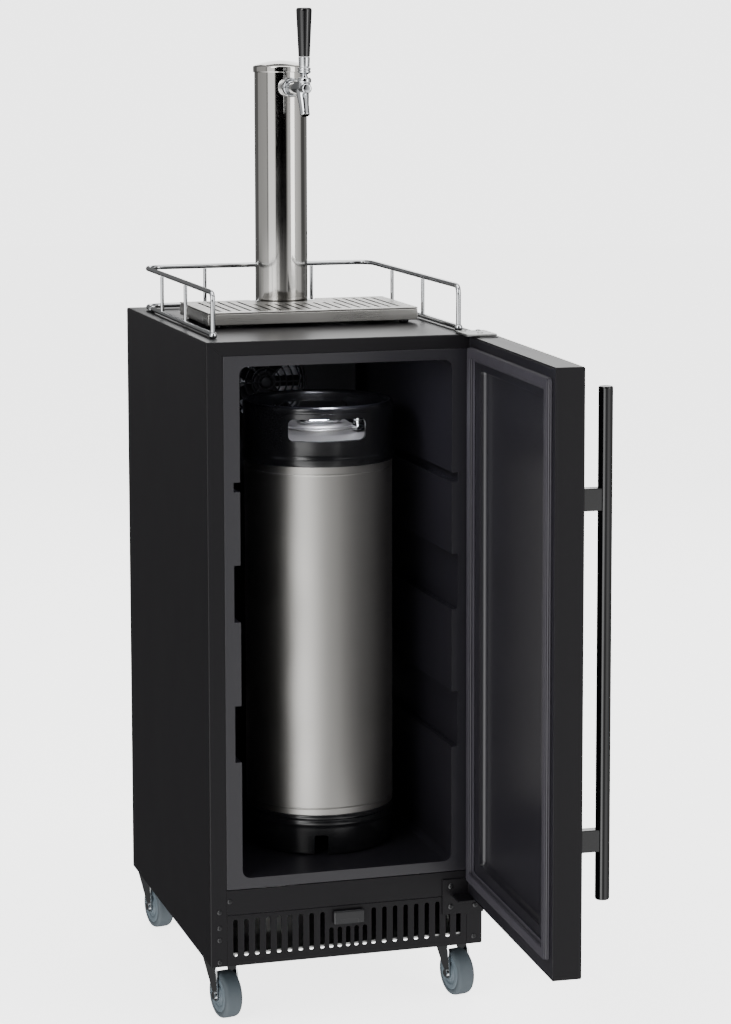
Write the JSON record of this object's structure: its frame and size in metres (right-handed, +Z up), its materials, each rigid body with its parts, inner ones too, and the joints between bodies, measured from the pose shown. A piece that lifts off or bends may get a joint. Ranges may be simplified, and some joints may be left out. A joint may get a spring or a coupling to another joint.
{
  "type": "kegerator",
  "caption": "Slim beer-dispensing refrigerator on casters: hinged door with a bar handle, a keg in the lined bay, and a tap tower, drip tray and guard rail on top.",
  "frame": {"origin": "on the floor, under the middle of the cabinet's footprint", "axes": "+Z up, +X to the right as the front is faced, -Y out of the front"},
  "size_m": [0.4367, 0.9144, 1.387],
  "materials": {
    "painted_sheet_steel": "satin",
    "moulded_abs": "gloss",
    "dark_plastic": "satin",
    "galvanised_steel": "satin",
    "heat_exchanger_aluminium": "satin",
    "compressor_paint": "satin",
    "lamp_diffuser": "gloss",
    "brushed_stainless": "satin",
    "chrome_plate": "polished",
    "tap_handle_plastic": "gloss",
    "keg_rubber": "gloss",
    "gasket_vinyl": "satin",
    "gloss_black_enamel": "gloss",
    "grey_wheel_rubber": "matte"
  },
  "bodies": {
    "cabinet": {"back_panel": "galvanised_steel", "base_pan": "galvanised_steel", "bottom_hinge": "painted_sheet_steel", "cabinet_shell": "painted_sheet_steel", "caster_stem_front_left": "galvanised_steel", "caster_stem_front_right": "galvanised_steel", "caster_stem_rear_left": "galvanised_steel", "caster_stem_rear_right": "galvanised_steel", "compressor": "compressor_paint", "condenser": "heat_exchanger_aluminium", "coupling_nut": "chrome_plate", "evaporator": "heat_exchanger_aluminium", "evaporator_cover": "dark_plastic", "fan_guard": "dark_plastic", "faucet_body": "chrome_plate", "faucet_bonnet": "chrome_plate", "front_sill": "painted_sheet_steel", "grille_block": "dark_plastic", "guard_rail_base": "chrome_plate", "guard_rail_top": "chrome_plate", "inner_liner": "moulded_abs", "kick_grille": "painted_sheet_steel", "lamp_lens": "lamp_diffuser", "shank_collar": "chrome_plate", "shank_nut": "galvanised_steel", "top_hinge": "galvanised_steel", "tower_cap": "brushed_stainless", "tower_column": "brushed_stainless", "tower_flange": "brushed_stainless", "tower_shank": "chrome_plate"},
    "door": {"door_skin": "painted_sheet_steel", "door_liner": "moulded_abs", "door_gasket": "gasket_vinyl", "door_handle_bar": "gloss_black_enamel", "door_handle_post_low": "gloss_black_enamel", "door_handle_post_high": "gloss_black_enamel"},
    "keg": {"keg_shell": "brushed_stainless", "keg_base_rubber": "keg_rubber", "keg_top_rubber": "keg_rubber", "keg_lid": "brushed_stainless", "keg_gas_post": "brushed_stainless", "keg_liquid_post": "brushed_stainless"},
    "lid_bail": {"keg_lid_bail": "brushed_stainless"},
    "relief_valve": {"keg_relief_valve": "chrome_plate"},
    "tap": {"tap_lever": "chrome_plate", "handle_ferrule": "chrome_plate", "tap_handle": "tap_handle_plastic"},
    "tray": {"drip_tray": "brushed_stainless"},
    "grate": {"drip_grate": "brushed_stainless"},
    "fan": {"fan_rotor": "galvanised_steel"},
    "caster_front_left": {"caster_fork_front_left": "chrome_plate"},
    "wheel_front_left": {"caster_wheel_front_left": "grey_wheel_rubber"},
    "caster_front_right": {"caster_fork_front_right": "chrome_plate"},
    "wheel_front_right": {"caster_wheel_front_right": "grey_wheel_rubber"},
    "caster_rear_left": {"caster_fork_rear_left": "chrome_plate"},
    "wheel_rear_left": {"caster_wheel_rear_left": "grey_wheel_rubber"},
    "caster_rear_right": {"caster_fork_rear_right": "chrome_plate"},
    "wheel_rear_right": {"caster_wheel_rear_right": "grey_wheel_rubber"}
  },
  "joints": [
    {"name": "door_hinge", "type": "hinge", "parent": "cabinet", "child": "door", "pos_m": [0.183, -0.276, 0.5], "axis": [0, 0, 1], "range_deg": [-87.5, 22]},
    {"name": "tap_pull", "type": "hinge", "parent": "cabinet", "child": "tap", "pos_m": [0, -0.0445, 1.29], "axis": [1, 0, 0], "range_deg": [0, 35]},
    {"name": "keg_slide", "type": "slide", "parent": "cabinet", "child": "keg", "axis": [0, -1, 0], "range_m": [0, 0.42]},
    {"name": "bail_lift", "type": "hinge", "parent": "keg", "child": "lid_bail", "pos_m": [0.008, -0.081, 0.8123], "axis": [-0.9903, 0.1392, 0], "range_deg": [0, 100]},
    {"name": "relief_pull", "type": "slide", "parent": "keg", "child": "relief_valve", "axis": [0, 0, 1], "range_m": [0, 0.003]},
    {"name": "tray_lift", "type": "slide", "parent": "cabinet", "child": "tray", "axis": [0, 0, 1], "range_m": [0, 0.06]},
    {"name": "grate_lift", "type": "slide", "parent": "tray", "child": "grate", "axis": [0, 0, 1], "range_m": [0, 0.05]},
    {"name": "fan_spin", "type": "hinge", "parent": "cabinet", "child": "fan", "pos_m": [0, 0.1865, 0.832], "axis": [0, 1, 0], "continuous": true},
    {"name": "swivel_front_left", "type": "hinge", "parent": "cabinet", "child": "caster_front_left", "pos_m": [-0.168, -0.1875, 0.09], "axis": [0, 0, 1], "continuous": true},
    {"name": "roll_front_left", "type": "hinge", "parent": "caster_front_left", "child": "wheel_front_left", "pos_m": [-0.16366, -0.21212, 0.0325], "axis": [0.9848, 0.1736, 0], "continuous": true},
    {"name": "swivel_front_right", "type": "hinge", "parent": "cabinet", "child": "caster_front_right", "pos_m": [0.168, -0.1875, 0.09], "axis": [0, 0, 1], "continuous": true},
    {"name": "roll_front_right", "type": "hinge", "parent": "caster_front_right", "child": "wheel_front_right", "pos_m": [0.17234, -0.21212, 0.0325], "axis": [0.9848, 0.1736, 0], "continuous": true},
    {"name": "swivel_rear_left", "type": "hinge", "parent": "cabinet", "child": "caster_rear_left", "pos_m": [-0.168, 0.24, 0.09], "axis": [0, 0, 1], "continuous": true},
    {"name": "roll_rear_left", "type": "hinge", "parent": "caster_rear_left", "child": "wheel_rear_left", "pos_m": [-0.16366, 0.21538, 0.0325], "axis": [0.9848, 0.1736, 0], "continuous": true},
    {"name": "swivel_rear_right", "type": "hinge", "parent": "cabinet", "child": "caster_rear_right", "pos_m": [0.168, 0.24, 0.09], "axis": [0, 0, 1], "continuous": true},
    {"name": "roll_rear_right", "type": "hinge", "parent": "caster_rear_right", "child": "wheel_rear_right", "pos_m": [0.17234, 0.21538, 0.0325], "axis": [0.9848, 0.1736, 0], "continuous": true}
  ]
}
